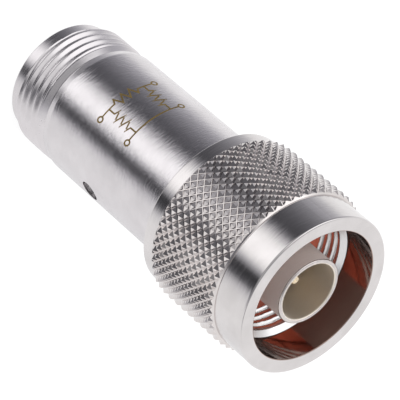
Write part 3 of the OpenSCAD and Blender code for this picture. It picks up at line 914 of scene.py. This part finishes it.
# Brightness round the object: a white table, a dark room beyond it, and a soft box low towards -Y.
# Each stop is (turn in degrees from +Y towards +X, brightness).
STUDIO_LOW = [
    (-180, 1.45), (-168, 1.38), (-162, 1.18), (-154, 0.74), (-147, 0.24), (-140, 0.085), (-128, 0.11),
    (-116, 0.16), (-100, 0.28), (-84, 0.44), (-70, 0.69), (-60, 1.0), (-46, 1.1), (-20, 1.06), (0, 0.98),
    (16, 0.9), (40, 0.95), (80, 1.04), (112, 0.99), (122.5, 0.88), (128.5, 0.66), (136.5, 0.12),
    (144.5, 0.05), (151.5, 0.06), (158.5, 0.5), (166, 1.15), (173, 1.4), (180, 1.45),
]
STUDIO_HIGH = [
    (-180, 0.13), (-165, 0.18), (-150, 0.30), (-130, 0.40), (-115, 0.46), (-95, 0.53), (-75, 0.64),
    (-60, 0.9), (-46, 1.06), (0, 1.1), (80, 1.08), (104, 1.02), (114, 0.88), (124, 0.56), (134, 0.21),
    (150, 0.12), (180, 0.13),
]
STUDIO_PEAK = 1.6
ROOM_BLUE = 0.12
# The dark room's edge slants: below a height it turns by so many degrees for each step down,
# not at all at the first of two turns, and fully at the second
SLANT = 34
SLANT_HEIGHT = -0.6
SLANT_TURNS = (-50, -120)
# Heights, as the Z of a direction, between which one part of the studio blends into the next
LOW_TO_HIGH = (-0.25, 0.0)
TO_TABLE = (-0.88, -0.97)
TO_HIGH_UP = (0.40, 0.68)
TABLE_BRIGHTNESS = 0.9
# High up all is pale, but for a dark ceiling overhead. The ranges say how well a direction has to face it
# and how far aside it may point, from the ceiling's faint edge to its full strength
HIGH_BRIGHTNESS = 1.0
CEILING = (0, 0.225, 0.974)
CEILING_BRIGHTNESS = 0.2
CEILING_FACING = (0.835, 0.875)
CEILING_ASIDE = (0.46, 0.30)
# Round patches of the studio: direction, brightness, and how well a direction has to face it,
# from its faint edge to its full strength. A lamp hangs towards -X, with a dark gap across from it.
STUDIO_PATCHES = [
    ((-0.62, -0.18, 0.763), 1.55, 0.82, 0.91),
    ((0.55, -0.36, 0.754), 0.15, 0.955, 0.98),
]
# A floor just under the part, which mostly glows by itself, and one large soft lamp
FLOOR_REACH = 2000
FLOOR_Z = -0.02
FLOOR_GLOW = 0.88
FLOOR_GREY = 0.2
LAMP_PLACE = (-0.12, -0.2, 0.5)
LAMP_SIZE = 0.35
LAMP_ENERGY = 1.2


def studio_colour(brightness):
    """A grey for the studio, as a share of its peak, a little bluer where the room is dark."""
    blue = 1 + ROOM_BLUE * max(0, 1 - brightness)
    return [share / STUDIO_PEAK for share in (brightness, brightness, brightness * blue)]


def brightness_ramp(tree, share, stops):
    """Brightness by turn, as shares of the studio's peak."""
    ramp = node(tree, "ShaderNodeValToRGB", {0: share})
    elements = ramp.color_ramp.elements
    for index, (degrees, brightness) in enumerate(stops):
        position = degrees / 360 + 0.5
        stop = elements[index] if index < len(elements) else elements.new(position)
        stop.position = position
        stop.color = (*studio_colour(brightness), 1)
    return ramp.outputs[0]


def build_world():
    """Studio brightness by direction, and plain white straight to the camera."""
    world = bpy.data.worlds.new("studio")
    bpy.context.scene.world = world
    world.use_nodes = True
    tree = world.node_tree
    tree.nodes.clear()
    direction = node(tree, "ShaderNodeTexCoord").outputs["Generated"]
    x, y, height = node(tree, "ShaderNodeSeparateXYZ", {0: direction}).outputs
    turn = calc(tree, "ARCTAN2", x, y)
    below = calc(tree, "SUBTRACT", SLANT_HEIGHT, height)
    slant_start, slant_end = (math.radians(degrees) for degrees in SLANT_TURNS)
    slant = spread(tree, turn, slant_start, slant_end, 0, math.radians(SLANT))
    turn = calc(tree, "ADD", turn, calc(tree, "MULTIPLY", below, slant))
    share = calc(tree, "ADD", calc(tree, "DIVIDE", turn, FULL_TURN), 0.5)
    low, high = (brightness_ramp(tree, share, stops) for stops in (STUDIO_LOW, STUDIO_HIGH))
    colour = blend_colours(tree, spread(tree, height, *LOW_TO_HIGH, 0, 1), low, high)
    table = spread(tree, height, *TO_TABLE, 0, 1)
    colour = blend_colours(tree, table, colour, studio_colour(TABLE_BRIGHTNESS))
    high_up = spread(tree, height, *TO_HIGH_UP, 0, 1)
    colour = blend_colours(tree, high_up, colour, studio_colour(HIGH_BRIGHTNESS))
    overhead = spread(tree, dot(tree, direction, CEILING), *CEILING_FACING, 0, 1)
    aside = calc(tree, "ABSOLUTE", x)
    overhead = calc(tree, "MULTIPLY", overhead, spread(tree, aside, *CEILING_ASIDE, 0, 1))
    colour = blend_colours(tree, overhead, colour, studio_colour(CEILING_BRIGHTNESS))
    for middle, brightness, edge, full in STUDIO_PATCHES:
        facing = spread(tree, dot(tree, direction, middle), edge, full, 0, 1)
        colour = blend_colours(tree, facing, colour, studio_colour(brightness))
    studio = node(tree, "ShaderNodeBackground", {"Color": colour, "Strength": STUDIO_PEAK})
    white = node(tree, "ShaderNodeBackground", {"Color": (1, 1, 1, 1), "Strength": 1.0})
    seen = node(tree, "ShaderNodeLightPath").outputs["Is Camera Ray"]
    mixed = node(tree, "ShaderNodeMixShader", {0: seen, 1: studio.outputs[0], 2: white.outputs[0]})
    output = node(tree, "ShaderNodeOutputWorld")
    tree.links.new(mixed.outputs[0], output.inputs["Surface"])


def build_floor():
    """A white floor that keeps a soft shadow. Metal sees the studio instead of it."""
    around = ((-1, -1), (1, -1), (1, 1), (-1, 1))
    corners = [(x * FLOOR_REACH, y * FLOOR_REACH, FLOOR_Z) for x, y in around]
    material = bpy.data.materials.new("white_floor")
    material.use_nodes = True
    tree = material.node_tree
    tree.nodes.clear()
    glow = node(tree, "ShaderNodeEmission", {"Color": (1, 1, 1, 1), "Strength": FLOOR_GLOW})
    matt = node(tree, "ShaderNodeBsdfDiffuse", {"Color": (FLOOR_GREY, FLOOR_GREY, FLOOR_GREY, 1)})
    both = node(tree, "ShaderNodeAddShader", {0: glow.outputs[0], 1: matt.outputs[0]})
    output = node(tree, "ShaderNodeOutputMaterial")
    tree.links.new(both.outputs[0], output.inputs["Surface"])
    floor = mesh_object("floor", corners, [(0, 1, 2, 3)], [material])
    floor.visible_glossy = False


def build_lamp():
    """One large soft lamp above the camera's side."""
    lamp = bpy.data.lights.new("soft_lamp", "AREA")
    lamp.shape = "DISK"
    lamp.size = LAMP_SIZE
    lamp.energy = LAMP_ENERGY
    holder = bpy.data.objects.new("soft_lamp", lamp)
    bpy.context.scene.collection.objects.link(holder)
    holder.location = LAMP_PLACE
    holder.rotation_euler = (RIM_CENTRE / 2 - holder.location).to_track_quat("-Z", "Y").to_euler()
    holder.visible_glossy = False


def build_camera():
    """The camera at the photograph's place, looking from the photograph's angle."""
    lens = bpy.data.cameras.new("camera")
    lens.lens = LENS
    lens.sensor_width = SENSOR
    lens.clip_start = 0.01
    lens.clip_end = 20
    camera = bpy.data.objects.new("camera", lens)
    bpy.context.scene.collection.objects.link(camera)
    across, down, ahead = RIM_IN_VIEW
    spot = RIM_CENTRE - CAMERA_RIGHT * across - CAMERA_DOWN * down - CAMERA_FORWARD * ahead
    axes = Matrix((CAMERA_RIGHT, -CAMERA_DOWN, -CAMERA_FORWARD)).transposed()
    camera.matrix_world = Matrix.Translation(spot) @ axes.to_4x4()
    bpy.context.scene.camera = camera


build_world()
build_floor()
build_lamp()
build_camera()
bpy.context.scene.view_settings.view_transform = "Standard"
